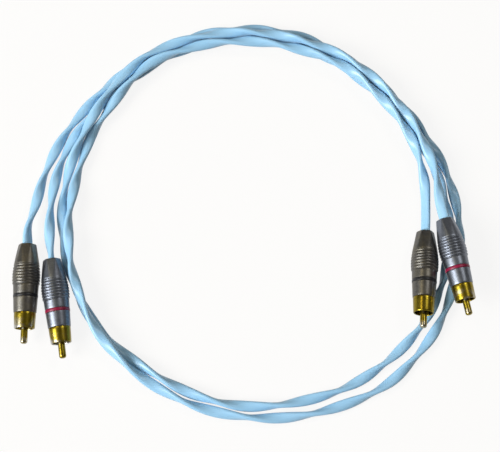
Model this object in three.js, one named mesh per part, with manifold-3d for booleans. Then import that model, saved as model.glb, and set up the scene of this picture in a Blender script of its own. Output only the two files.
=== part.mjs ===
// A matched pair of phono leads wound together in one flat coil of a turn and a half.
// Millimetres, +Z up, the floor is z = 0. The plug tips point to -Y.
// Each plug is drawn with its cable end at 0 and its pin towards -Y; `t` counts from the cable end.

import * as THREE from 'three';
import { mergeVertices } from 'three/addons/utils/BufferGeometryUtils.js';
import Module from 'manifold-3d';

const wasm = await Module();
wasm.setup();

// Sizes shared by all four plugs, in mm.
const FACETS = 18;
const PLAY = 0.3;

// Ground sleeve: its mouth goes over the socket, its spigot carries shell, colour ring and collar.
const SLEEVE_MOUTH_RADIUS = 4.1;
const SLEEVE_WALL = 0.9;
const SLEEVE_LIP_WALL = 0.58;
const SLEEVE_STEP = 0.7;
const SLEEVE_REAR = 15;
const SLEEVE_END = 39;
const SPIGOT_WALL = 1.1;

const SHELL_LENGTH = 23.2;
const SHELL_WALL = 1.2;
const SHELL_FRONT_WALL = 1.02;
const SHELL_BULGE = 0.55;
const BULGE_LENGTH = 12;
const CABLE_BORE_RADIUS = 2.9;
const CABLE_BORE_DEPTH = 6.4;
const BORE_CONE = 1.6;
const RIM_TAPER = 1.7;
const HEX_LENGTH = 9.3;
const HEX_DEPTH_AT_RIM = 2.2;
const HEX_SLOPE = 0.245;
const RIB_COUNT = 7;
const RIB_PITCH = 1.4;
const RIB_GROOVE_WIDTH = 0.6;
const RIB_GROOVE_DEPTH = 0.32;

const RING_WIDTH = 1.1;
const RING_WALL = 1.04;
const COLLAR_LENGTH = 6.7;
const COLLAR_REAR_WALL = 0.96;
const COLLAR_FRONT_WALL = 0.6;

const PLUG_LENGTH = 45.9;
const PIN_RADIUS = 1.6;
const PIN_STEM_RADIUS = 1.2;
const PIN_CUP_REAR = 11.2;
const PIN_CUP_DEPTH = 2.6;
const PIN_CUP_RADIUS = 0.85;
const FLANGE_THICKNESS = 1.0;

const JACKET_END = 9.3;
const CORE_RADIUS = 0.45;
const LINER_WALL = 0.35;
const TAIL_PLAY = 0.35;
const TAIL_WASHER = 1.1;
const TAIL_SOLDER_GAP = 0.55;
const TAIL_WIDTH = 2.4;
const TAIL_THICKNESS = 0.65;
const BAND_LENGTH = 1.5;
const BAND_WALL = 0.75;
const BAND_TO_JACKET_END = 1.9;

// The cable is an oval jacket on two twisted cores; its solid is a plain round tube of the same area.
const CORD_DIAMETER = 3.9;
const CORD_SIDES = 10;
const CORD_STEPS = 76;
const STRAIGHT_RUN = 8;

// What follows from those sizes.
const SLEEVE_RADIUS = SLEEVE_MOUTH_RADIUS + SLEEVE_WALL;
const SPIGOT_RADIUS = SLEEVE_RADIUS - SLEEVE_STEP;
const SPIGOT_BORE_RADIUS = SPIGOT_RADIUS - SPIGOT_WALL;
const SHELL_BORE_RADIUS = SPIGOT_RADIUS + PLAY;
const SHELL_RADIUS = SHELL_BORE_RADIUS + SHELL_WALL;
const RING_REAR = SHELL_LENGTH + PLAY;
const COLLAR_REAR = RING_REAR + RING_WIDTH + PLAY;
const COLLAR_END = COLLAR_REAR + COLLAR_LENGTH;
const SLEEVE_SHOULDER = COLLAR_END + PLAY;
const SLEEVE_FLOOR = SLEEVE_SHOULDER + SLEEVE_STEP;
const FLANGE_REAR = SLEEVE_FLOOR + PLAY;
const FLANGE_FACE = FLANGE_REAR + FLANGE_THICKNESS;
const LINER_RADIUS = SHELL_BORE_RADIUS - PLAY;
const TAIL_FRONT = SLEEVE_REAR - PLAY;
const RESTING = SHELL_RADIUS + SHELL_BULGE;

// Where each plug lies: the middle of its cable end, its turn about Z and how far its nose is lifted.
// RESTING is the height of a plug's middle when its ribs lie on the floor.
// The black far plug has its nose on a strand of the coil; the red far plug lies on two strands.
const PLUGS = {
  black_start: { rear: [-102.4, -10.5, RESTING], turn: 0.3, lift: 0, ring: 'black' },
  red_start: { rear: [-91.0, -17.6, RESTING], turn: 8.5, lift: 0, ring: 'red' },
  black_end: { rear: [81.1, -4.4, RESTING - 1.35], turn: -4, lift: 7, ring: 'black' },
  red_end: { rear: [89.5, 0.4, RESTING + 3.8], turn: 11.3, lift: 4, ring: 'red' },
};

// Stations of each lead round the coil: bearing in degrees, distance from the coil's centre and height.
// The first pass lies on the floor; the second climbs on top of it and comes down at the far plugs.
const BLACK_ROUTE = [
  [175, 100.1, 4.9], [167, 99.3, 3.2], [158, 98.4, 2.5], [150, 97.3, 2.5],
  [135, 96.2, 2.5], [127, 95.7, 2.5], [120, 96.2, 2.5],
  [105, 97.1, 2.5], [90, 97.2, 2.5], [75, 96.6, 2.5], [60, 94.2, 2.5], [45, 92.8, 2.5],
  [30, 93.4, 2.5], [15, 95.6, 2.5], [0, 97.3, 2.5], [-15, 97.9, 2.5], [-30, 98.1, 2.5],
  [-45, 97.1, 2.5], [-52, 96.3, 2.5], [-60, 94.4, 2.5], [-75, 91.4, 2.5], [-90, 89.1, 2.5],
  [-105, 87.6, 2.5],
  [-117, 86.6, 2.6], [-127, 86.2, 3.9], [-135, 86.1, 5.6], [-142, 85.8, 6.7], [-150, 85.2, 6.9],
  [-157, 84.8, 6.9], [-165, 84.4, 6.8], [-172, 84.1, 6.4], [-180, 84.0, 5.7], [-187, 83.9, 4.6],
  [-195, 84.3, 3.0], [-203, 85.3, 2.5], [-210, 86.5, 2.7], [-217, 87.0, 4.0], [-225, 88.1, 5.7],
  [-233, 90.1, 6.6], [-240, 91.5, 6.8], [-255, 90.4, 6.8], [-270, 89.4, 6.8], [-285, 88.5, 6.8],
  [-300, 88.9, 6.8], [-315, 87.1, 6.8], [-330, 86.2, 6.5], [-338, 85.3, 5.4],
  [-345.5, 84.2, 4.3],
];
const RED_ROUTE = [
  [178, 92.7, 5.3], [169, 93.4, 3.5], [160, 93.7, 2.5], [150, 92.9, 2.5],
  [135, 91.9, 2.5], [127, 91.4, 2.5], [120, 91.9, 2.5],
  [105, 92.8, 2.5], [90, 92.9, 2.5], [75, 92.3, 2.5], [60, 89.9, 2.5], [45, 88.5, 2.5],
  [30, 89.1, 2.5], [15, 91.2, 2.5], [0, 92.6, 2.5], [-15, 92.8, 2.5], [-24, 92.2, 2.5], [-32, 91.4, 2.5],
  [-45, 89.3, 2.5], [-60, 87.3, 2.5], [-75, 85.0, 2.5], [-90, 84.2, 2.5], [-105, 83.0, 2.5],
  [-120, 82.0, 2.5], [-135, 83.1, 2.5], [-150, 85.1, 2.5], [-165, 86.0, 2.5], [-180, 87.5, 2.5],
  [-195, 88.7, 2.7], [-203, 89.2, 4.4], [-210, 89.7, 5.7], [-217, 90.8, 6.6], [-225, 92.7, 6.9],
  [-233, 94.4, 6.8], [-240, 95.8, 6.8], [-255, 94.9, 6.8], [-270, 94.0, 6.8], [-285, 93.1, 6.8],
  [-300, 93.2, 6.8], [-315, 91.6, 6.8], [-330, 90.5, 7.0], [-340, 89.7, 8.0],
  [-347.5, 89.0, 9.1],
];

const COLOURS = {
  nickel: [0x9a9ba0, 1.0, 0.28],
  gold: [0xd9a93a, 1.0, 0.2],
  black_plastic: [0x16161a, 0.0, 0.45],
  red_plastic: [0x9c0b2b, 0.0, 0.45],
  white_plastic: [0xe6e2d6, 0.0, 0.5],
  liner: [0x2a2a2c, 0.0, 0.7],
  tinned_brass: [0xb9ac86, 1.0, 0.4],
  core_red: [0xa8342a, 0.0, 0.55],
  core_white: [0xdad8d0, 0.0, 0.55],
  blue_jacket: [0x9fd2f2, 0.0, 0.35],
};

function material(slot) {
  const [color, metalness, roughness] = COLOURS[slot];
  const made = new THREE.MeshStandardMaterial({ color, metalness, roughness });
  made.name = slot;
  return made;
}

// Signed volume of a closed triangle mesh; a negative one has its faces turned inwards.
function signedVolume(geometry) {
  const p = geometry.getAttribute('position');
  const index = geometry.getIndex();
  const a = new THREE.Vector3();
  const b = new THREE.Vector3();
  const c = new THREE.Vector3();
  let sum = 0;
  for (let i = 0; i < index.count; i += 3) {
    a.fromBufferAttribute(p, index.getX(i));
    b.fromBufferAttribute(p, index.getX(i + 1));
    c.fromBufferAttribute(p, index.getX(i + 2));
    sum += a.dot(b.cross(c)) / 6;
  }
  return sum;
}

// Welds the vertices and turns the faces outwards.
function closed(source) {
  const bare = source.clone();
  bare.deleteAttribute('normal');
  bare.deleteAttribute('uv');
  const welded = mergeVertices(bare, 1e-4);
  const kept = [];
  const index = welded.getIndex();
  for (let i = 0; i < index.count; i += 3) {
    const [a, b, c] = [index.getX(i), index.getX(i + 1), index.getX(i + 2)];
    if (a !== b && b !== c && a !== c) {
      kept.push(a, b, c);
    }
  }
  welded.setIndex(kept);
  if (signedVolume(welded) < 0) {
    for (let i = 0; i < kept.length; i += 3) {
      [kept[i + 1], kept[i + 2]] = [kept[i + 2], kept[i + 1]];
    }
    welded.setIndex(kept);
  }
  return welded;
}

function toManifold(source) {
  const geometry = closed(source);
  const mesh = new wasm.Mesh({
    numProp: 3,
    vertProperties: new Float32Array(geometry.getAttribute('position').array),
    triVerts: new Uint32Array(geometry.getIndex().array),
  });
  mesh.merge();
  return new wasm.Manifold(mesh);
}

function fromManifold(body) {
  const mesh = body.getMesh();
  const geometry = new THREE.BufferGeometry();
  geometry.setAttribute('position', new THREE.Float32BufferAttribute(mesh.vertProperties, 3));
  geometry.setIndex(Array.from(mesh.triVerts));
  return closed(geometry);
}

// Turns a profile of [t, radius] about the plug's axis. The profile closes on itself or on the axis.
function turned(profile, sides = FACETS) {
  const points = profile.map(([t, radius]) => new THREE.Vector2(radius, -t));
  return closed(new THREE.LatheGeometry(points, sides));
}

// A hollow turned piece: the profile is a closed loop that never meets the axis.
function turnedLoop(profile, sides = FACETS) {
  return turned([...profile, profile[0]], sides);
}

// The threaded back shell: hexagonal grip, ribbed bulge, plain front, bored for the cable.
function shellOutline() {
  const grip = (t) => SHELL_RADIUS + SHELL_BULGE * Math.sin(Math.PI * (t - HEX_LENGTH) / BULGE_LENGTH);
  const front = SHELL_BORE_RADIUS + SHELL_FRONT_WALL;
  const ribsStart = HEX_LENGTH + 0.2;
  const outline = [[0, SHELL_RADIUS - RIM_TAPER], [HEX_LENGTH, grip(HEX_LENGTH)]];
  for (let i = 0; i < RIB_COUNT; i += 1) {
    const start = ribsStart + i * RIB_PITCH;
    const end = start + RIB_PITCH - RIB_GROOVE_WIDTH;
    outline.push([start, grip(start)], [end, grip(end)]);
    outline.push([end + RIB_GROOVE_WIDTH / 2, grip(end) - RIB_GROOVE_DEPTH]);
  }
  outline.push([ribsStart + RIB_COUNT * RIB_PITCH, SHELL_RADIUS]);
  outline.push([SHELL_LENGTH - 0.3, front], [SHELL_LENGTH, front - 0.2]);
  return outline;
}

// Six flats that widen from the cable end and run out on the first rib.
function hexCone() {
  const reach = SHELL_LENGTH + 2;
  const corner = (t) => (SHELL_RADIUS - HEX_DEPTH_AT_RIM + HEX_SLOPE * t) / Math.cos(Math.PI / 6);
  const cone = new THREE.CylinderGeometry(corner(-1), corner(reach - 1), reach, 6, 1);
  cone.rotateY(Math.PI / 6);
  cone.translate(0, 1 - reach / 2, 0);
  return cone;
}

function shell() {
  const bore = [
    [SHELL_LENGTH, SHELL_BORE_RADIUS],
    [CABLE_BORE_DEPTH + BORE_CONE, SHELL_BORE_RADIUS],
    [CABLE_BORE_DEPTH, CABLE_BORE_RADIUS],
    [0, CABLE_BORE_RADIUS],
  ];
  const body = toManifold(turnedLoop([...shellOutline(), ...bore]));
  return fromManifold(body.intersect(toManifold(hexCone())));
}

function colourRing() {
  const radius = SHELL_BORE_RADIUS + RING_WALL;
  return turnedLoop([
    [RING_REAR, radius],
    [RING_REAR + RING_WIDTH, radius],
    [RING_REAR + RING_WIDTH, SHELL_BORE_RADIUS],
    [RING_REAR, SHELL_BORE_RADIUS],
  ]);
}

function collar() {
  const rear = SHELL_BORE_RADIUS + COLLAR_REAR_WALL;
  const front = SHELL_BORE_RADIUS + COLLAR_FRONT_WALL;
  return turnedLoop([
    [COLLAR_REAR, rear - 0.15],
    [COLLAR_REAR + 0.2, rear],
    [COLLAR_END - 0.2, front],
    [COLLAR_END, front - 0.15],
    [COLLAR_END, SHELL_BORE_RADIUS],
    [COLLAR_REAR, SHELL_BORE_RADIUS],
  ]);
}

// The ground contact: a spigot that carries shell, ring and collar, and the round sleeve in front.
function groundSleeve() {
  const lip = SLEEVE_MOUTH_RADIUS + SLEEVE_LIP_WALL;
  return turnedLoop([
    [SLEEVE_REAR, SPIGOT_RADIUS],
    [SLEEVE_SHOULDER, SPIGOT_RADIUS],
    [SLEEVE_SHOULDER, SLEEVE_RADIUS - 0.15],
    [SLEEVE_SHOULDER + 0.2, SLEEVE_RADIUS],
    [SLEEVE_END - 0.3, lip],
    [SLEEVE_END, lip - 0.2],
    [SLEEVE_END, SLEEVE_MOUTH_RADIUS],
    [SLEEVE_FLOOR, SLEEVE_MOUTH_RADIUS],
    [SLEEVE_FLOOR, SPIGOT_BORE_RADIUS],
    [SLEEVE_REAR, SPIGOT_BORE_RADIUS],
  ]);
}

// The insulator is pressed into the sleeve from the front and stops on its own flange.
function insulator() {
  const rear = SLEEVE_REAR + 1;
  const hole = PIN_STEM_RADIUS + PLAY;
  const body = SPIGOT_BORE_RADIUS - PLAY;
  const flange = SLEEVE_MOUTH_RADIUS - PLAY;
  return turnedLoop([
    [rear, body],
    [FLANGE_REAR, body],
    [FLANGE_REAR, flange],
    [FLANGE_FACE, flange],
    [FLANGE_FACE, hole],
    [rear, hole],
  ], 12);
}

// The centre pin: solder cup at the back, thin stem through the insulator, round nose in front.
function centrePin() {
  const shoulder = FLANGE_FACE + PLAY;
  return turned([
    [PIN_CUP_REAR + PIN_CUP_DEPTH, 0],
    [PIN_CUP_REAR + PIN_CUP_DEPTH, PIN_CUP_RADIUS],
    [PIN_CUP_REAR, PIN_CUP_RADIUS],
    [PIN_CUP_REAR, PIN_STEM_RADIUS],
    [shoulder, PIN_STEM_RADIUS],
    [shoulder, PIN_RADIUS],
    [PLUG_LENGTH - 1.5, PIN_RADIUS],
    [PLUG_LENGTH - 0.7, PIN_RADIUS * 0.85],
    [PLUG_LENGTH - 0.2, PIN_RADIUS * 0.5],
    [PLUG_LENGTH, 0],
  ], 12);
}

// A plain ring of the given length between two radii.
function sleeve(rear, length, inner, outer) {
  return turnedLoop([
    [rear, outer], [rear + length, outer], [rear + length, inner], [rear, inner],
  ], 16);
}

// The ground tail: a washer behind the sleeve, a strip along the cable and a band that grips the jacket.
function groundTail() {
  const washerOuter = LINER_RADIUS - LINER_WALL - TAIL_PLAY;
  const washerInner = PIN_STEM_RADIUS + TAIL_SOLDER_GAP;
  const washer = sleeve(TAIL_FRONT - TAIL_WASHER, TAIL_WASHER, washerInner, washerOuter);
  const bandRear = JACKET_END - BAND_TO_JACKET_END;
  const bandInner = CORD_DIAMETER / 2 + TAIL_PLAY;
  const band = sleeve(bandRear, BAND_LENGTH, bandInner, bandInner + BAND_WALL);
  const from = bandRear + 0.3;
  const length = TAIL_FRONT - 0.4 - from;
  const strip = new THREE.BoxGeometry(TAIL_WIDTH, length, TAIL_THICKNESS);
  strip.translate(0, -(from + length / 2), bandInner + TAIL_THICKNESS);
  return fromManifold(toManifold(washer).add(toManifold(band)).add(toManifold(strip)));
}

// An insulating tube inside the shell, round the solder joints.
function liner() {
  const rear = CABLE_BORE_DEPTH + 2;
  return sleeve(rear, TAIL_FRONT - rear, LINER_RADIUS - LINER_WALL, LINER_RADIUS);
}

// A plain round tube along a smooth curve through the given points.
function tube(points, radius, sides, steps) {
  const corners = [];
  for (let i = 0; i < sides; i += 1) {
    const angle = (2 * Math.PI * i) / sides;
    corners.push(new THREE.Vector2(radius * Math.cos(angle), radius * Math.sin(angle)));
  }
  const path = new THREE.CatmullRomCurve3(points.map((p) => new THREE.Vector3(...p)));
  path.arcLengthDivisions = 2000;
  const made = new THREE.ExtrudeGeometry(new THREE.Shape(corners), { steps, extrudePath: path });
  return closed(made);
}

// The two cores where the jacket has been stripped: one goes to the pin, one to the ground tail.
function signalCore() {
  const from = -(JACKET_END + PLAY);
  return tube([
    [0.9, from, 0], [0.5, from - 0.8, 0], [0.05, from - 1.6, 0], [0, from - 2.4, 0],
    [0, -(PIN_CUP_REAR + PIN_CUP_DEPTH - 0.6), 0],
  ], CORE_RADIUS, 8, 8);
}

function returnCore() {
  const from = -(JACKET_END + PLAY);
  const to = -(TAIL_FRONT - TAIL_WASHER - PLAY);
  return tube([[-0.9, from, 0], [-1.5, from - 1.2, 0], [-2.3, from - 2.6, 0], [-2.4, to, 0]],
    CORE_RADIUS, 8, 8);
}

// The place of a plug: its nose is lifted first, then it is turned on the floor and moved.
function placement(plug) {
  const turn = new THREE.Matrix4().makeRotationZ(THREE.MathUtils.degToRad(plug.turn));
  const lift = new THREE.Matrix4().makeRotationX(-THREE.MathUtils.degToRad(plug.lift));
  return turn.multiply(lift).setPosition(...plug.rear);
}

// Local point [x, y, z] of a plug in the coil's frame.
function placed(plug, local) {
  return new THREE.Vector3(...local).applyMatrix4(placement(plug)).toArray();
}

// The points of a lead: straight out of one plug, round the stations, straight into the other plug.
function routePoints(startPlug, stations, endPlug) {
  const points = [
    placed(startPlug, [0, -JACKET_END, 0]),
    placed(startPlug, [0, 0, 0]),
    placed(startPlug, [0, STRAIGHT_RUN, 0]),
  ];
  for (const [bearing, distance, height] of stations) {
    const angle = THREE.MathUtils.degToRad(bearing);
    points.push([distance * Math.cos(angle), distance * Math.sin(angle), height]);
  }
  points.push(placed(endPlug, [0, STRAIGHT_RUN, 0]));
  points.push(placed(endPlug, [0, 0, 0]));
  points.push(placed(endPlug, [0, -JACKET_END, 0]));
  return points;
}

function addMesh(group, name, geometry, slot) {
  const mesh = new THREE.Mesh(geometry, material(slot));
  mesh.name = name;
  group.add(mesh);
}

function addPlug(group, name, plug, parts) {
  const place = placement(plug);
  for (const [part, [geometry, slot]] of Object.entries(parts)) {
    const copy = geometry.clone();
    copy.applyMatrix4(place);
    addMesh(group, `${name}_${part}`, copy, slot === 'ring' ? `${plug.ring}_plastic` : slot);
  }
}

// Moves everything so that the four plugs' box stands on z = 0 with its middle at the origin.
function centreOnPlugs(group) {
  const box = new THREE.Box3();
  for (const mesh of group.children) {
    if (!mesh.name.endsWith('_cord')) {
      mesh.geometry.computeBoundingBox();
      box.union(mesh.geometry.boundingBox);
    }
  }
  const middle = box.getCenter(new THREE.Vector3());
  for (const mesh of group.children) {
    mesh.geometry.translate(-middle.x, -middle.y, -box.min.z);
  }
}

function build() {
  const group = new THREE.Group();
  group.name = 'audio_interconnect_pair';
  const parts = {
    shell: [shell(), 'nickel'],
    colour_ring: [colourRing(), 'ring'],
    collar: [collar(), 'nickel'],
    ground_sleeve: [groundSleeve(), 'gold'],
    insulator: [insulator(), 'white_plastic'],
    centre_pin: [centrePin(), 'gold'],
    ground_tail: [groundTail(), 'tinned_brass'],
    liner: [liner(), 'liner'],
    signal_core: [signalCore(), 'core_red'],
    return_core: [returnCore(), 'core_white'],
  };
  for (const [name, plug] of Object.entries(PLUGS)) {
    addPlug(group, name, plug, parts);
  }
  const leads = {
    black_cord: routePoints(PLUGS.black_start, BLACK_ROUTE, PLUGS.black_end),
    red_cord: routePoints(PLUGS.red_start, RED_ROUTE, PLUGS.red_end),
  };
  for (const [name, points] of Object.entries(leads)) {
    addMesh(group, name, tube(points, CORD_DIAMETER / 2, CORD_SIDES, CORD_STEPS), 'blue_jacket');
  }
  centreOnPlugs(group);
  return group;
}

export default build();
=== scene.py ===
# A matched pair of phono interconnect leads, wound together in one loose coil on a pale table.
# Metres throughout, +Z up. The plugs point to -Y, towards the viewer.
import math

import bpy
import numpy as np
from mathutils import Matrix, Vector


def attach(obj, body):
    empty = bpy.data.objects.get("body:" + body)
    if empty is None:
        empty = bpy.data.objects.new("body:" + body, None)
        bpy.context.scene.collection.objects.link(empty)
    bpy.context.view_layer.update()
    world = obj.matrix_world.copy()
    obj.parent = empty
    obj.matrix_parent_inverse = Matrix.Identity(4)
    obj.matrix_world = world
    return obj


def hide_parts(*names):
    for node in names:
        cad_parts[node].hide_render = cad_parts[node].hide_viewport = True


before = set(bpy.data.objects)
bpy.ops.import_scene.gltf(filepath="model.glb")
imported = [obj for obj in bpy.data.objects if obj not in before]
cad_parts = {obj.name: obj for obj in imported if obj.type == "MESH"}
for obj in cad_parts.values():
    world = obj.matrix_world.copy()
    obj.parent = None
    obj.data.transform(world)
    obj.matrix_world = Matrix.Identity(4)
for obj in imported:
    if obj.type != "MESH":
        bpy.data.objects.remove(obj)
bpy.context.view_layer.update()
scene = bpy.context.scene

# Camera
# The coil is seen almost from above, from the plugs' side, at arm's length.
coil_centre = Vector((0.003489, 0.030895, 0.0))
camera_elevation = math.radians(76)
camera_distance = 0.6
viewer = bpy.data.objects.new("viewer", bpy.data.cameras.new("viewer"))
scene.collection.objects.link(viewer)
viewer.location = coil_centre + camera_distance * Vector(
    (0, -math.cos(camera_elevation), math.sin(camera_elevation))
)
viewer.rotation_euler = (math.pi / 2 - camera_elevation, 0, 0)
viewer.data.sensor_width = 36
viewer.data.lens = 92.5
viewer.data.clip_start = 0.01
scene.camera = viewer

# The two cables
# Each lead is one length of pale blue flex: an oval jacket extruded over two cores that are twisted
# together, so that the flat sides turn over every inch or so. It bends easily and lies as it was wound.
flex_width = 0.0049
flex_thickness = 0.0027
flex_squareness = 2.4
flex_step = 0.0012
jacket_in_plug = 0.0093
straight_run = 0.008
# Rings over which a turn or a push is evened out, rings held still at each plug, rings of one lead that
# are too near along it to press on each other, and the share of an overlap that one round takes away.
even_rings = 9
held_rings = 16
own_rings = 20
push_share = 0.3

# The places of the four plugs about the coil's centre: middle of the cable end, turn, lift of the nose.
plug_places = {
    "black_start": ((-0.1024, -0.0105, 0.00635), 0.3, 0, "black"),
    "red_start": ((-0.0910, -0.0176, 0.00635), 8.5, 0, "red"),
    "black_end": ((0.0811, -0.0044, 0.00500), -4, 7, "black"),
    "red_end": ((0.0895, 0.0004, 0.01015), 11.3, 4, "red"),
}


def place_of(plug):
    """Where a plug stands: its own -Y is the way its pin points, its origin the cable end."""
    rear, turn, lift, _ = plug_places[plug]
    turned = Matrix.Rotation(math.radians(turn), 4, "Z") @ Matrix.Rotation(-math.radians(lift), 4, "X")
    return Matrix.Translation(coil_centre + Vector(rear)) @ turned


# Bearing in degrees, distance from the coil's centre and height of each station of the two routes.
black_route = [
    (175, 0.1001, 0.0049), (167, 0.0993, 0.0032), (158, 0.0984, 0.0025), (150, 0.0973, 0.0025),
    (135, 0.0962, 0.0025), (127, 0.0957, 0.0025), (120, 0.0962, 0.0025), (105, 0.0971, 0.0025),
    (90, 0.0972, 0.0025), (75, 0.0966, 0.0025), (60, 0.0942, 0.0025), (45, 0.0928, 0.0025),
    (30, 0.0934, 0.0025), (15, 0.0956, 0.0025), (0, 0.0973, 0.0025), (-15, 0.0979, 0.0025),
    (-30, 0.0981, 0.0025), (-45, 0.0971, 0.0025), (-52, 0.0963, 0.0025), (-60, 0.0944, 0.0025),
    (-75, 0.0914, 0.0025), (-90, 0.0891, 0.0025), (-105, 0.0876, 0.0025), (-117, 0.0866, 0.0026),
    (-127, 0.0862, 0.0039), (-135, 0.0861, 0.0056), (-142, 0.0858, 0.0067), (-150, 0.0852, 0.0069),
    (-157, 0.0848, 0.0069), (-165, 0.0844, 0.0068), (-172, 0.0841, 0.0064), (-180, 0.0840, 0.0057),
    (-187, 0.0839, 0.0046), (-195, 0.0843, 0.0030), (-203, 0.0853, 0.0025), (-210, 0.0865, 0.0027),
    (-217, 0.0870, 0.0040), (-225, 0.0881, 0.0057), (-233, 0.0901, 0.0066), (-240, 0.0915, 0.0068),
    (-255, 0.0904, 0.0068), (-270, 0.0894, 0.0068), (-285, 0.0885, 0.0068), (-300, 0.0889, 0.0068),
    (-315, 0.0871, 0.0068), (-330, 0.0862, 0.0065), (-338, 0.0853, 0.0054), (-345.5, 0.0842, 0.0043),
]
red_route = [
    (178, 0.0927, 0.0053), (169, 0.0934, 0.0035), (160, 0.0937, 0.0025), (150, 0.0929, 0.0025),
    (135, 0.0919, 0.0025), (127, 0.0914, 0.0025), (120, 0.0919, 0.0025), (105, 0.0928, 0.0025),
    (90, 0.0929, 0.0025), (75, 0.0923, 0.0025), (60, 0.0899, 0.0025), (45, 0.0885, 0.0025),
    (30, 0.0891, 0.0025), (15, 0.0912, 0.0025), (0, 0.0926, 0.0025), (-15, 0.0928, 0.0025),
    (-24, 0.0922, 0.0025), (-32, 0.0914, 0.0025), (-45, 0.0893, 0.0025), (-60, 0.0873, 0.0025),
    (-75, 0.0850, 0.0025), (-90, 0.0842, 0.0025), (-105, 0.0830, 0.0025), (-120, 0.0820, 0.0025),
    (-135, 0.0831, 0.0025), (-150, 0.0851, 0.0025), (-165, 0.0860, 0.0025), (-180, 0.0875, 0.0025),
    (-195, 0.0887, 0.0027), (-203, 0.0892, 0.0044), (-210, 0.0897, 0.0057), (-217, 0.0908, 0.0066),
    (-225, 0.0927, 0.0069), (-233, 0.0944, 0.0068), (-240, 0.0958, 0.0068), (-255, 0.0949, 0.0068),
    (-270, 0.0940, 0.0068), (-285, 0.0931, 0.0068), (-300, 0.0932, 0.0068), (-315, 0.0916, 0.0068),
    (-330, 0.0905, 0.0070), (-340, 0.0897, 0.0080), (-347.5, 0.0890, 0.0091),
]
# Bearings at which the flex stands on edge. The two leads keep a quarter of a turn apart.
black_edges = [
    180.2, 166.3, 152.2, 138.4, 124.5, 110.7, 96.8, 83, 69.2, 55.3, 41.5, 27.9, 15, 2, -10.9, -25, -39.2,
    -55.1, -72.7, -91, -111, -131, -151, -167.3, -182.9, -198.7, -214.7, -230.3, -246, -261.6, -277.2,
    -292.9, -308.5, -323.5, -338.5,
]
red_edges = [
    190, 175.7, 161.2, 146.4, 131.5, 117.6, 103.8, 89.9, 76.1, 62.2, 48.4, 34.7, 21.4, 8.5, -4.5, -18,
    -32.1, -47.1, -62.9, -81.9, -101.1, -120.9, -140, -159, -175, -190.8, -206.7, -222.5, -238.2,
    -253.8, -269.4, -285, -300.7, -315.8, -330.3, -345,
]
# Near the plugs the flex is held, so the twist stops: first and last bearing of it.
black_twist = 184.5, -350
red_twist = 195, -354.4


def smooth_line(points, cuts=40):
    """A centripetal curve through the points, the same one as the solid follows."""
    points = np.vstack([2 * points[0] - points[1], points, 2 * points[-1] - points[-2]])
    line = []
    for i in range(1, len(points) - 2):
        before, start, end, after = points[i - 1 : i + 3]
        a, b, c = (np.linalg.norm(q - p) ** 0.5 for p, q in ((before, start), (start, end), (end, after)))
        leave = ((start - before) / a - (end - before) / (a + b) + (end - start) / b) * b
        arrive = ((end - start) / b - (after - start) / (b + c) + (after - end) / c) * b
        u = np.linspace(0, 1, cuts, endpoint=False)[:, None]
        line.append(
            (2 * u**3 - 3 * u**2 + 1) * start + (u**3 - 2 * u**2 + u) * leave
            + (-2 * u**3 + 3 * u**2) * end + (u**3 - u**2) * arrive
        )
    return np.vstack(line + [points[-2:-1]])


class Flex:
    """One lead's cable: its ring centres, and how far its flat sides have turned at each."""

    def __init__(self, start, stations, end, edges, twist):
        centre = np.array(coil_centre)
        along = [-jacket_in_plug, 0, straight_run]
        points = [place_of(start) @ Vector((0, y, 0)) for y in along]
        for bearing, distance, height in stations:
            angle = math.radians(bearing)
            points.append(centre + (distance * math.cos(angle), distance * math.sin(angle), height))
        points += [place_of(end) @ Vector((0, y, 0)) for y in reversed(along)]
        line = smooth_line(np.array([list(p) for p in points]))
        run = np.concatenate([[0], np.cumsum(np.linalg.norm(np.diff(line, axis=0), axis=1))])
        self.length = run[-1]
        self.places = np.linspace(0, run[-1], int(run[-1] / flex_step) + 1)
        self.rings = np.column_stack([np.interp(self.places, run, line[:, k]) for k in range(3)])
        # Bearings run on from about 180 degrees down past zero, as those of the edges do.
        bearing = np.unwrap(np.arctan2(self.rings[:, 1] - centre[1], self.rings[:, 0] - centre[0]))
        bearing += 2 * np.pi * round((np.pi - bearing[0]) / (2 * np.pi))
        turns = np.pi / 2 + np.pi * np.arange(-1, len(edges) + 1)
        edges = [2 * edges[0] - edges[1], *edges, 2 * edges[-1] - edges[-2]]
        angle = np.interp(-np.clip(np.degrees(bearing), twist[1], twist[0]), -np.array(edges), turns)
        evened = np.pad(angle, even_rings // 2, "edge")
        self.turned = np.convolve(evened, np.ones(even_rings) / even_rings, "valid")

    def axes(self):
        """The wide and the narrow way of the section at every ring."""
        way = np.gradient(self.rings, axis=0)
        way /= np.linalg.norm(way, axis=1)[:, None]
        side = np.cross((0, 0, 1), way)
        side /= np.linalg.norm(side, axis=1)[:, None]
        up = np.cross(way, side)
        c, s = np.cos(self.turned)[:, None], np.sin(self.turned)[:, None]
        return c * side + s * up, c * up - s * side

    def reach(self, rows, way):
        """How far the section reaches from its centre in a direction, at the given rings."""
        wide, thin = self.axes()
        m = flex_squareness / (flex_squareness - 1)
        a = abs(np.einsum("ij,ij->i", wide[rows], way)) * flex_width / 2
        b = abs(np.einsum("ij,ij->i", thin[rows], way)) * flex_thickness / 2
        return (a**m + b**m) ** (1 / m)


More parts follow.
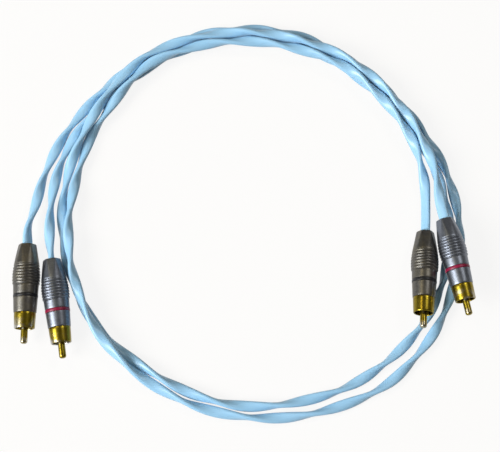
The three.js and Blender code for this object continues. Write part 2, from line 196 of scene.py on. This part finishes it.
def settle(leads, rounds=16):
    """The flat cables lean aside where two lie against each other, and rest on the table."""
    soft = np.hanning(even_rings) / np.hanning(even_rings).sum()
    for _ in range(rounds):
        shifts = [np.zeros_like(lead.rings) for lead in leads]
        for i, one in enumerate(leads):
            for j in range(i, len(leads)):
                other = leads[j]
                apart = one.rings[:, None] - other.rings[None]
                gap = np.linalg.norm(apart, axis=2)
                if i == j:
                    rows = np.arange(len(one.rings))
                    gap[abs(rows[:, None] - rows[None]) < own_rings] = 1
                near = gap.argmin(axis=1)
                rows = np.flatnonzero(gap.min(axis=1) < flex_width)
                if not len(rows):
                    continue
                near = near[rows]
                way = apart[rows, near] / gap[rows, near][:, None]
                short = one.reach(rows, way) + other.reach(near, way) - gap[rows, near]
                push = np.clip(short, 0, None)[:, None] * way * push_share
                np.add.at(shifts[i], rows, push)
                np.add.at(shifts[j], near, -push)
        for lead, shift in zip(leads, shifts):
            shift[:held_rings] = shift[-held_rings:] = 0
            shift = np.column_stack([np.convolve(shift[:, k], soft, "same") for k in range(3)])
            lead.rings += shift
            rows = np.arange(len(lead.rings))
            floor = lead.reach(rows, np.tile((0, 0, 1.0), (len(rows), 1)))
            lead.rings[:, 2] = np.maximum(lead.rings[:, 2], floor)


def flex_mesh(name, lead, around=28):
    """The jacket: a soft-cornered oval carried along the rings, closed at both ends."""
    wide, thin = lead.axes()
    angle = np.linspace(0, 2 * np.pi, around, endpoint=False)
    power = 2 / flex_squareness
    x = flex_width / 2 * np.sign(np.cos(angle)) * abs(np.cos(angle)) ** power
    y = flex_thickness / 2 * np.sign(np.sin(angle)) * abs(np.sin(angle)) ** power
    points = lead.rings[:, None] + x[None, :, None] * wide[:, None] + y[None, :, None] * thin[:, None]
    count = len(lead.rings)
    faces, uv = [], []
    for r in range(count - 1):
        here, ahead = r * around, (r + 1) * around
        for k in range(around):
            n = (k + 1) % around
            left, right = k / around, (k + 1) / around
            faces.append((here + k, here + n, ahead + n, ahead + k))
            uv += [(left, lead.places[r]), (right, lead.places[r])]
            uv += [(right, lead.places[r + 1]), (left, lead.places[r + 1])]
    faces += [tuple(range(around - 1, -1, -1)), tuple(range((count - 1) * around, count * around))]
    uv += [(0, 0)] * (2 * around)
    mesh = bpy.data.meshes.new(name)
    mesh.from_pydata(points.reshape(-1, 3).tolist(), [], faces)
    mesh.uv_layers.new(name="along").data.foreach_set("uv", np.array(uv).ravel())
    mesh.shade_smooth()
    piece = bpy.data.objects.new(name, mesh)
    scene.collection.objects.link(piece)
    return piece


class Link:
    """A value that a shader node puts out. Its sums and products add Math nodes."""

    def __init__(self, finish, socket):
        self.finish, self.socket = finish, socket

    def maths(self, operation, *terms, clamp=False):
        settings = {"operation": operation, "use_clamp": clamp}
        return self.finish.add("ShaderNodeMath", settings, dict(enumerate(terms)))

    def __add__(self, other):
        return self.maths("ADD", self, other)

    def __radd__(self, other):
        return self.maths("ADD", other, self)

    def __sub__(self, other):
        return self.maths("SUBTRACT", self, other)

    def __rsub__(self, other):
        return self.maths("SUBTRACT", other, self)

    def __mul__(self, other):
        return self.maths("MULTIPLY", self, other)

    def __rmul__(self, other):
        return self.maths("MULTIPLY", other, self)

    def within(self):
        """Kept between 0 and 1."""
        return self.maths("ADD", self, 0, clamp=True)


class Finish:
    """A material built on one Principled shader."""

    def __init__(self, name, **sockets):
        self.material = bpy.data.materials.new(name)
        self.material.use_nodes = True
        self.tree = self.material.node_tree
        self.shader = self.tree.nodes["Principled BSDF"]
        self.feed(self.shader, {key.replace("_", " "): value for key, value in sockets.items()})

    def feed(self, node, values):
        for key, value in values.items():
            if isinstance(value, Link):
                self.tree.links.new(value.socket, node.inputs[key])
            else:
                node.inputs[key].default_value = value

    def add(self, kind, settings=None, values=None, out=0):
        """A new node of a kind: its settings first, then its sockets. Gives the link of one output."""
        node = self.tree.nodes.new(kind)
        for key, value in (settings or {}).items():
            if key == "stops":
                ramp = node.color_ramp
                while len(ramp.elements) < len(value):
                    ramp.elements.new(0.5)
                for element, (position, colour) in zip(ramp.elements, value):
                    element.position, element.color = position, colour
            else:
                setattr(node, key, value)
        self.feed(node, values or {})
        return Link(self, node.outputs[out])

    def mix(self, share, first, second):
        """The first colour, with a share of the second."""
        return self.add("ShaderNodeMix", {"data_type": "RGBA"}, {0: share, 6: first, 7: second}, 2)

    def noise(self, where, size, detail, roughness=0.5):
        values = {"Vector": where, "Scale": 1 / size, "Detail": detail, "Roughness": roughness}
        return self.add("ShaderNodeTexNoise", {}, values)

    def bump(self, height, distance, strength):
        return self.add("ShaderNodeBump", {}, {"Height": height, "Distance": distance, "Strength": strength})

    def wear(self, **links):
        """Feeds the shader's own sockets."""
        self.feed(self.shader, {key.replace("_", " "): value for key, value in links.items()})


jacket = Finish("sky_blue_jacket", IOR=1.48, Coat_Roughness=0.3)
place = jacket.add("ShaderNodeTexCoord", out=3)
length_way = jacket.add("ShaderNodeUVMap", {"uv_map": "along"})
drawn = jacket.add("ShaderNodeVectorMath", {"operation": "MULTIPLY"}, {0: length_way, 1: (9, 30, 1)})
streaks = jacket.noise(drawn, 1.0, 4)
cloud = jacket.noise(place, 0.011, 3)
grime = jacket.noise(place, 0.0024, 4, 0.65)
spots = jacket.add("ShaderNodeMapRange", {}, {"Value": grime, "From Min": 0.62, "From Max": 0.74})
blue = jacket.mix(cloud, (0.265, 0.51, 0.73, 1), (0.325, 0.57, 0.79, 1))
blue = jacket.mix(streaks * 0.30, blue, (0.235, 0.42, 0.60, 1))
blue = jacket.mix(spots * 0.22, blue, (0.26, 0.30, 0.34, 1))
jacket.wear(
    Base_Color=blue,
    Roughness=0.30 + 0.16 * cloud + 0.10 * spots,
    Coat_Weight=0.18,
    Normal=jacket.bump(streaks * 0.6 + grime * 0.4, 0.00006, 0.5),
)

black_flex = Flex("black_start", black_route, "black_end", black_edges, black_twist)
red_flex = Flex("red_start", red_route, "red_end", red_edges, red_twist)
settle([black_flex, red_flex])
black_cable = flex_mesh("black_cable", black_flex)
red_cable = flex_mesh("red_cable", red_flex)
for cable, node in ((black_cable, "black_cord"), (red_cable, "red_cord")):
    cable.data.materials.append(jacket.material)
    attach(cable, "root")
    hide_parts(node)

# Back shells
# The shell is turned from brass bar and satin nickel-plated. Its cable end is milled to six flats for
# the fingers, seven ribs go round the swell behind its middle, and it screws on over the spigot.
# Every size of a plug is in mm, and t counts along its axis from the cable end.
shell_length = 23.35
shell_bore = 4.6
shell_bore_end = 8.0
body_radius = 5.8
rim_radius = 4.1
front_taper = 0.17
swell = 0.55
swell_length = 12
cable_bore = 2.9
cable_bore_depth = 6.4
hex_length = 9.3
hex_end = 10.4
hex_flat_at_rim = 3.6
hex_slope = 0.245
rib_count = 7
rib_pitch = 1.4
ribs_start = hex_length + 0.2
# One rib and the groove in front of it: steps along the axis and depths below the swell.
rib_section = [
    (0, 0.1), (0.1, 0.03), (0.25, 0), (0.4, 0), (0.55, 0), (0.7, 0.03), (0.8, 0.1),
    (0.9, 0.24), (1.0, 0.31), (1.1, 0.33), (1.2, 0.31), (1.3, 0.24),
]
# The surface of a turned piece is unrolled as if every turn were this long, in metres.
unrolled_turn = 0.03
sharp_edge = math.radians(32)


def soft_min(a, b, round_off=0.12):
    """The smaller of two radii, with the edge between them broken by a file."""
    h = np.clip(0.5 + 0.5 * (b - a) / round_off, 0, 1)
    return b * (1 - h) + a * h - round_off * h * (1 - h)


def turned_piece(name, plug, profile, flats=None, around=96):
    """Turns a closed outline of (t, radius) on the plug's axis. Flats gives the hexagon's size at t."""
    angle = np.linspace(0, 2 * np.pi, around, endpoint=False)
    points = []
    for t, radius in profile:
        reach = np.full(around, radius)
        if flats and flats(t) is not None:
            facet = (angle + np.pi / 6) % (np.pi / 3) - np.pi / 6
            reach = soft_min(reach, flats(t) / np.cos(facet))
        points.append(np.column_stack([reach * np.sin(angle), np.full(around, -t), reach * np.cos(angle)]))
    rows = len(profile)
    faces, uv = [], []
    for r in range(rows):
        following = (r + 1) % rows
        here, ahead = r * around, following * around
        low, high = profile[r][0] / 1000, profile[following][0] / 1000
        for k in range(around):
            n = (k + 1) % around
            left, right = unrolled_turn * k / around, unrolled_turn * (k + 1) / around
            faces.append((here + k, ahead + k, ahead + n, here + n))
            uv += [(left, low), (left, high), (right, high), (right, low)]
    mesh = bpy.data.meshes.new(name)
    mesh.from_pydata((np.vstack(points) / 1000).tolist(), [], faces)
    mesh.uv_layers.new(name="turned").data.foreach_set("uv", np.array(uv).ravel())
    mesh.transform(place_of(plug))
    mesh.shade_smooth()
    mesh.set_sharp_from_angle(angle=sharp_edge)
    piece = bpy.data.objects.new(name, mesh)
    scene.collection.objects.link(piece)
    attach(piece, "root")
    return piece


def shell_radius(t):
    """The outside under the ribs."""
    return body_radius + swell * math.sin(math.pi * (t - hex_length) / swell_length)


def shell_profile():
    """From the cable end along the outside to the front, and back through the bore."""
    outline = [(0, rim_radius - 0.6), (0, rim_radius - 0.2), (0.15, rim_radius)]
    for t in np.arange(0.4, hex_length, 0.3):
        outline.append((t, rim_radius + (body_radius - rim_radius) * t / hex_length))
    for i in range(rib_count):
        for step, depth in rib_section:
            t = ribs_start + i * rib_pitch + step
            outline.append((t, shell_radius(t) - depth))
    land = ribs_start + rib_count * rib_pitch
    front = body_radius - front_taper
    outline += [(land, body_radius - 0.06), (land + 0.15, body_radius), (land + 0.4, body_radius)]
    for t in np.arange(land + 0.9, shell_length - 0.45, 0.6):
        outline.append((t, body_radius - front_taper * (t - land) / (shell_length - land)))
    outline += [(shell_length - 0.3, front), (shell_length - 0.12, front - 0.03)]
    outline += [(shell_length - 0.03, front - 0.11), (shell_length, front - 0.21)]
    outline += [(shell_length, shell_bore), (shell_bore_end, shell_bore), (cable_bore_depth, cable_bore)]
    return outline + [(0.25, cable_bore), (0.08, cable_bore + 0.05), (0, cable_bore + 0.2)]


def shell_flats(t):
    """Half the distance between two flats, which run out on the first rib."""
    return hex_flat_at_rim + hex_slope * t if t <= hex_end else None


def plated(name, base, low, high, rough, tint, tint_share, turned=True, rubbed_and_glare=None):
    """Turned and plated metal: fine tool lines round the axis, faint stains and handling marks.
    Each stretch of the axis given as (t, share), t up to 50, gets silver-grey patches: partly plating
    thinned by wear, partly a painted reflection of the window."""
    metal = Finish(name, Metallic=1.0)
    place = metal.add("ShaderNodeTexCoord", out=3)
    if turned:
        lathe = metal.add("ShaderNodeUVMap", {"uv_map": "turned"})
        lines = metal.add("ShaderNodeVectorMath", {"operation": "MULTIPLY"}, {0: lathe, 1: (60, 9000, 1)})
        tool = metal.noise(lines, 1.0, 2)
    else:
        tool = metal.noise(place, 0.0003, 2)
    stain = metal.noise(place, 0.004, 4, 0.6)
    rub = metal.noise(place, 0.0011, 3, 0.7)
    colour = metal.mix(stain, (*low, 1), (*base, 1))
    colour = metal.mix((rub * 1.6 - 0.55).within() * 0.5, colour, (*high, 1))
    colour = metal.mix((stain * 2.4 - 1.0).within() * tint_share, colour, (*tint, 1))
    if rubbed_and_glare:
        along = metal.add("ShaderNodeSeparateXYZ", {}, {0: lathe}, 1)
        stops = [(t / 50, (share, share, share, 1)) for t, share in rubbed_and_glare]
        thin = metal.add("ShaderNodeValToRGB", {"stops": stops}, {0: along * 20})
        patch = metal.noise(place, 0.006, 3, 0.6)
        worn_and_glare = thin * (patch * 5.0 - 2.3).within()
        # Silver-grey patches: partly bare metal where the plating has gone through, partly a painted
        # reflection of the window.
        colour = metal.mix(worn_and_glare, colour, (0.50, 0.50, 0.50, 1))
    metal.wear(
        Base_Color=colour,
        Roughness=rough + 0.12 * stain + 0.08 * tool,
        Normal=metal.bump(tool * 0.7 + rub * 0.3, 0.00002, 0.6),
    )
    return metal


# The two leads' plugs are the same nickel in two copies. The black lead's copy is painted darker and warmer,
# as painted shade with a warm lamp's painted reflection. The red lead's copy is lighter and bluer, as a
# painted reflection of the window.
nickel = {
    "black": plated("shaded_warm_nickel", (0.145, 0.140, 0.133), (0.092, 0.088, 0.082), (0.27, 0.26, 0.235), 0.30,
                    (0.20, 0.165, 0.07), 0.4),
    "red": plated("window_lit_cool_nickel", (0.190, 0.208, 0.247), (0.132, 0.144, 0.172), (0.32, 0.35, 0.40), 0.30,
                  (0.19, 0.19, 0.18), 0.25),
}
plug_pieces = {plug: [] for plug in plug_places}


def fit(piece, plug, finish, node):
    """Gives a piece its finish and lets it stand for its node of the plug."""
    piece.data.materials.append(finish.material)
    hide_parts(f"{plug}_{node}")
    plug_pieces[plug].append(piece)


for plug, (*_, colour) in plug_places.items():
    shell = turned_piece(f"{plug}_back_shell", plug, shell_profile(), shell_flats)
    fit(shell, plug, nickel[colour], "shell")

# Colour rings
# A thin moulded washer is trapped between shell and collar and tells the two leads apart: black for
# the left channel, crimson for the right.
ring_front = 24.76
ring_radius = 5.68
ring_finishes = {}
for colour, dark, light in (
    ("black", (0.004, 0.004, 0.005, 1), (0.012, 0.012, 0.014, 1)),
    ("red", (0.17, 0.002, 0.026, 1), (0.26, 0.004, 0.045, 1)),
):
    plastic = Finish(f"{colour}_ring_plastic", IOR=1.42)
    place = plastic.add("ShaderNodeTexCoord", out=3)
    cloud = plastic.noise(place, 0.002, 3)
    grain = plastic.noise(place, 0.0003, 2)
    plastic.wear(
        Base_Color=plastic.mix(cloud, dark, light),
        Roughness=0.32 + 0.15 * cloud,
        Normal=plastic.bump(grain, 0.00002, 0.4),
    )
    ring_finishes[colour] = plastic
for plug, (*_, colour) in plug_places.items():
    outline = [(shell_length, ring_radius - 0.18), (shell_length + 0.07, ring_radius - 0.06)]
    outline += [(shell_length + 0.25, ring_radius), (ring_front - 0.26, ring_radius)]
    outline += [(ring_front - 0.06, ring_radius - 0.06), (ring_front, ring_radius - 0.18)]
    outline += [(ring_front, shell_bore), (shell_length, shell_bore)]
    ring = turned_piece(f"{plug}_ring", plug, outline)
    fit(ring, plug, ring_finishes[colour], "colour_ring")

# Front collars
# A short plated sleeve that tapers a little to the front and clamps the colour ring against the shell.
collar_front = 31.75
collar_radius = 5.56
collar_taper = 0.36
collar_taper_start = ring_front + 0.14
collar_taper_length = 6.5
for plug, (*_, colour) in plug_places.items():
    outline = [(ring_front, collar_radius - 0.18), (ring_front + 0.04, collar_radius - 0.08)]
    outline += [(ring_front + 0.19, collar_radius - 0.01)]
    for t in np.arange(ring_front + 0.54, collar_front - 0.35, 0.8):
        outline.append((t, collar_radius - collar_taper * (t - collar_taper_start) / collar_taper_length))
    front = collar_radius - collar_taper
    outline += [(collar_front - 0.3, front - 0.01), (collar_front - 0.1, front - 0.06)]
    outline += [(collar_front, front - 0.18), (collar_front, shell_bore), (ring_front, shell_bore)]
    collar = turned_piece(f"{plug}_front_collar", plug, outline)
    fit(collar, plug, nickel[colour], "collar")

# Ground sleeves
# The gold-plated outer contact: a long spigot inside shell, ring and collar, and in front the sleeve
# that grips the socket, with a rolled lip. It is turned in one piece from brass.
sleeve_rear = 15
sleeve_shoulder = 31.76
sleeve_front = 39
sleeve_radius = 5.0
sleeve_taper = 0.27
sleeve_taper_start = 33
sleeve_taper_length = 5.4
mouth_radius = 4.1
mouth_floor = 32.6
spigot_radius = 4.3
spigot_bore = 3.2
gold_colours = (0.29, 0.215, 0.014), (0.16, 0.115, 0.007), (0.48, 0.38, 0.06), 0.20, (0.15, 0.105, 0.02), 0.5
# The silver-grey patches at the sleeve lip are partly plating wear and partly a painted reflection of the
# window. At the pin nose they are plating wear. The black_end sleeve would catch no such reflection, so it
# gets the whole gold.
gold = plated("rubbed_and_glare_gold", *gold_colours,
              rubbed_and_glare=[(34, 0), (38, 0.9), (39.2, 0.9), (39.4, 0), (42.6, 0), (44.4, 0.95)])
whole_gold = plated("whole_gold", *gold_colours)
for plug in plug_places:
    outline = [(sleeve_rear, spigot_radius), (sleeve_shoulder, spigot_radius)]
    outline += [(sleeve_shoulder, sleeve_radius - 0.18), (sleeve_shoulder + 0.06, sleeve_radius - 0.06)]
    outline += [(sleeve_shoulder + 0.24, sleeve_radius)]
    rear = sleeve_radius - 0.03
    outline += [(sleeve_taper_start, rear)]
    for t in np.arange(sleeve_taper_start + 0.8, sleeve_front - 0.7, 0.8):
        outline.append((t, rear - sleeve_taper * (t - sleeve_taper_start) / sleeve_taper_length))
    lip = rear - sleeve_taper
    outline += [(sleeve_front - 0.5, lip - 0.01), (sleeve_front - 0.25, lip - 0.04)]
    outline += [(sleeve_front - 0.08, lip - 0.14), (sleeve_front, lip - 0.30)]
    outline += [(sleeve_front - 0.04, mouth_radius + 0.14), (sleeve_front - 0.2, mouth_radius + 0.03)]
    outline += [(sleeve_front - 0.5, mouth_radius), (mouth_floor, mouth_radius)]
    outline += [(mouth_floor, spigot_bore), (sleeve_rear, spigot_bore)]
    sleeve = turned_piece(f"{plug}_sleeve", plug, outline)
    fit(sleeve, plug, whole_gold if plug == "black_end" else gold, "ground_sleeve")

# Insulators
# Turned fluoroplastic, waxy and slightly translucent. It is pressed into the sleeve and holds the pin
# in the middle of it.
insulator_rear = 16
insulator_radius = 2.9
insulator_hole = 1.5
flange_rear = 32.9
flange_face = 33.9
flange_radius = 3.8
waxy = Finish("fluoroplastic", IOR=1.38, Subsurface_Weight=0.15, Subsurface_Scale=0.0006)
place = waxy.add("ShaderNodeTexCoord", out=3)
cloud = waxy.noise(place, 0.0016, 4)
lathe = waxy.add("ShaderNodeUVMap", {"uv_map": "turned"})
lines = waxy.add("ShaderNodeVectorMath", {"operation": "MULTIPLY"}, {0: lathe, 1: (400, 7000, 1)})
waxy.wear(
    Base_Color=waxy.mix(cloud, (0.70, 0.68, 0.60, 1), (0.82, 0.80, 0.74, 1)),
    Roughness=0.42 + 0.15 * cloud,
    Normal=waxy.bump(waxy.noise(lines, 1.0, 2), 0.00003, 0.5),
)
for plug in plug_places:
    outline = [(insulator_rear, insulator_radius), (flange_rear, insulator_radius)]
    outline += [(flange_rear, flange_radius - 0.05), (flange_rear + 0.05, flange_radius)]
    outline += [(flange_face - 0.1, flange_radius), (flange_face, flange_radius - 0.1)]
    outline += [(flange_face, insulator_hole + 0.6), (flange_face - 0.15, insulator_hole + 0.4)]
    outline += [(flange_face - 0.15, insulator_hole + 0.1), (flange_face - 0.1, insulator_hole)]
    outline += [(insulator_rear, insulator_hole)]
    insulator = turned_piece(f"{plug}_pin_insulator", plug, outline, around=64)
    fit(insulator, plug, waxy, "insulator")

# Centre pins
# The signal contact: gold-plated brass with a domed nose, a thin stem through the insulator and a
# solder cup at the back.
plug_length = 45.9
pin_radius = 1.6
pin_shoulder = 34.2
nose_length = 1.1
stem_radius = 1.2
cup_rear = 11.2
cup_floor = 13.8
cup_radius = 0.85
for plug in plug_places:
    outline = [(cup_floor, 0.0), (cup_floor, cup_radius), (cup_rear, cup_radius), (cup_rear, stem_radius)]
    outline += [(pin_shoulder, stem_radius), (pin_shoulder, pin_radius - 0.1)]
    nose_rear = plug_length - nose_length
    outline += [(t, pin_radius) for t in (pin_shoulder + 0.1, 37, 40, 43, nose_rear - 0.1)]
    for angle in np.radians(np.linspace(12, 84, 7)):
        outline.append((nose_rear + nose_length * math.sin(angle), pin_radius * math.cos(angle) ** 0.6))
    pin = turned_piece(f"{plug}_pin", plug, outline + [(plug_length, 0.0)], around=64)
    fit(pin, plug, gold, "centre_pin")

# Joints inside the shells
# Behind the insulator the return core is soldered to a tinned tail whose band grips the jacket, and
# the signal core to the pin's cup. A shrunk liner keeps both off the shell.
tinned = plated("tinned_brass", (0.60, 0.57, 0.48), (0.48, 0.46, 0.38), (0.72, 0.70, 0.64), 0.3,
                (0.45, 0.38, 0.22), 0.4, turned=False)


def extruded(name, dark, light, rough):
    """Soft extruded plastic with a cloudy tone and a fine skin."""
    plastic = Finish(name, IOR=1.47)
    place = plastic.add("ShaderNodeTexCoord", out=3)
    cloud = plastic.noise(place, 0.0015, 3)
    skin = plastic.noise(place, 0.00035, 3, 0.6)
    plastic.wear(
        Base_Color=plastic.mix(cloud, (*dark, 1), (*light, 1)),
        Roughness=rough + 0.12 * cloud,
        Normal=plastic.bump(skin, 0.00003, 0.5),
    )
    return plastic


inner_finishes = {
    "ground_tail": tinned,
    "liner": extruded("shrunk_liner", (0.03, 0.03, 0.033), (0.06, 0.06, 0.065), 0.55),
    "signal_core": extruded("red_core", (0.45, 0.06, 0.04), (0.60, 0.12, 0.08), 0.45),
    "return_core": extruded("white_core", (0.66, 0.64, 0.58), (0.80, 0.78, 0.72), 0.45),
}
for plug in plug_places:
    for part, finish in inner_finishes.items():
        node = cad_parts[f"{plug}_{part}"]
        node.data.materials.clear()
        node.data.materials.append(finish.material)
        plug_pieces[plug].append(node)

# Table and light
# A plain white table under soft studio light: a broad window-like panel on the left, a small warm lamp
# behind it, a small panel on the right, and a dim warm room.
table_gap = 0.00002
bpy.ops.mesh.primitive_grid_add(x_subdivisions=4, y_subdivisions=4, size=60, location=(0, 0, -table_gap))
table = bpy.context.object
table.name = "table"
top = Finish("white_table", Base_Color=(0.44, 0.41, 0.37, 1), Roughness=0.75, Specular_IOR_Level=0.2)
glow = top.add("ShaderNodeEmission", {}, {"Color": (1, 1, 1, 1), "Strength": 1.1})
seen = top.add("ShaderNodeLightPath")
mirrored = Link(top, seen.socket.node.outputs["Is Glossy Ray"])
through = Link(top, seen.socket.node.outputs["Is Transmission Ray"])
share = (seen + mirrored + through).within() * 0.80
lit = top.add("ShaderNodeMixShader", {}, {0: share, 1: Link(top, top.shader.outputs[0]), 2: glow})
top.tree.links.new(lit.socket, top.tree.nodes["Material Output"].inputs["Surface"])
table.data.materials.append(top.material)

for name, spot, aim, spread, size, power, colour in (
    ("window_panel", (-1.35, -0.52, 1.10), (0.25, 0.20, 0), 90, 1.00, 14, (0.97, 0.99, 1.0)),
    ("warm_lamp", (-0.42, 0.32, 0.80), (0, 0, 0), 180, 0.10, 0.8, (1.0, 0.84, 0.50)),
    ("small_panel", (0.52, 0.40, 0.80), (0, 0, 0), 180, 0.20, 1.8, (1.0, 0.98, 0.95)),
):
    lamp = bpy.data.objects.new(name, bpy.data.lights.new(name, "AREA"))
    scene.collection.objects.link(lamp)
    lamp.data.shape = "SQUARE"
    lamp.data.size = size
    lamp.data.energy = power
    lamp.data.color = colour
    lamp.location = coil_centre + Vector(spot)
    lamp.data.spread = math.radians(spread)
    lamp.rotation_euler = (Vector(aim) - Vector(spot)).to_track_quat("-Z", "Y").to_euler()

room = bpy.data.worlds.new("room")
room.use_nodes = True
walls = room.node_tree.nodes["Background"]
walls.inputs["Color"].default_value = (1.0, 0.94, 0.86, 1)
walls.inputs["Strength"].default_value = 0.13
scene.world = room
scene.view_settings.view_transform = "Standard"
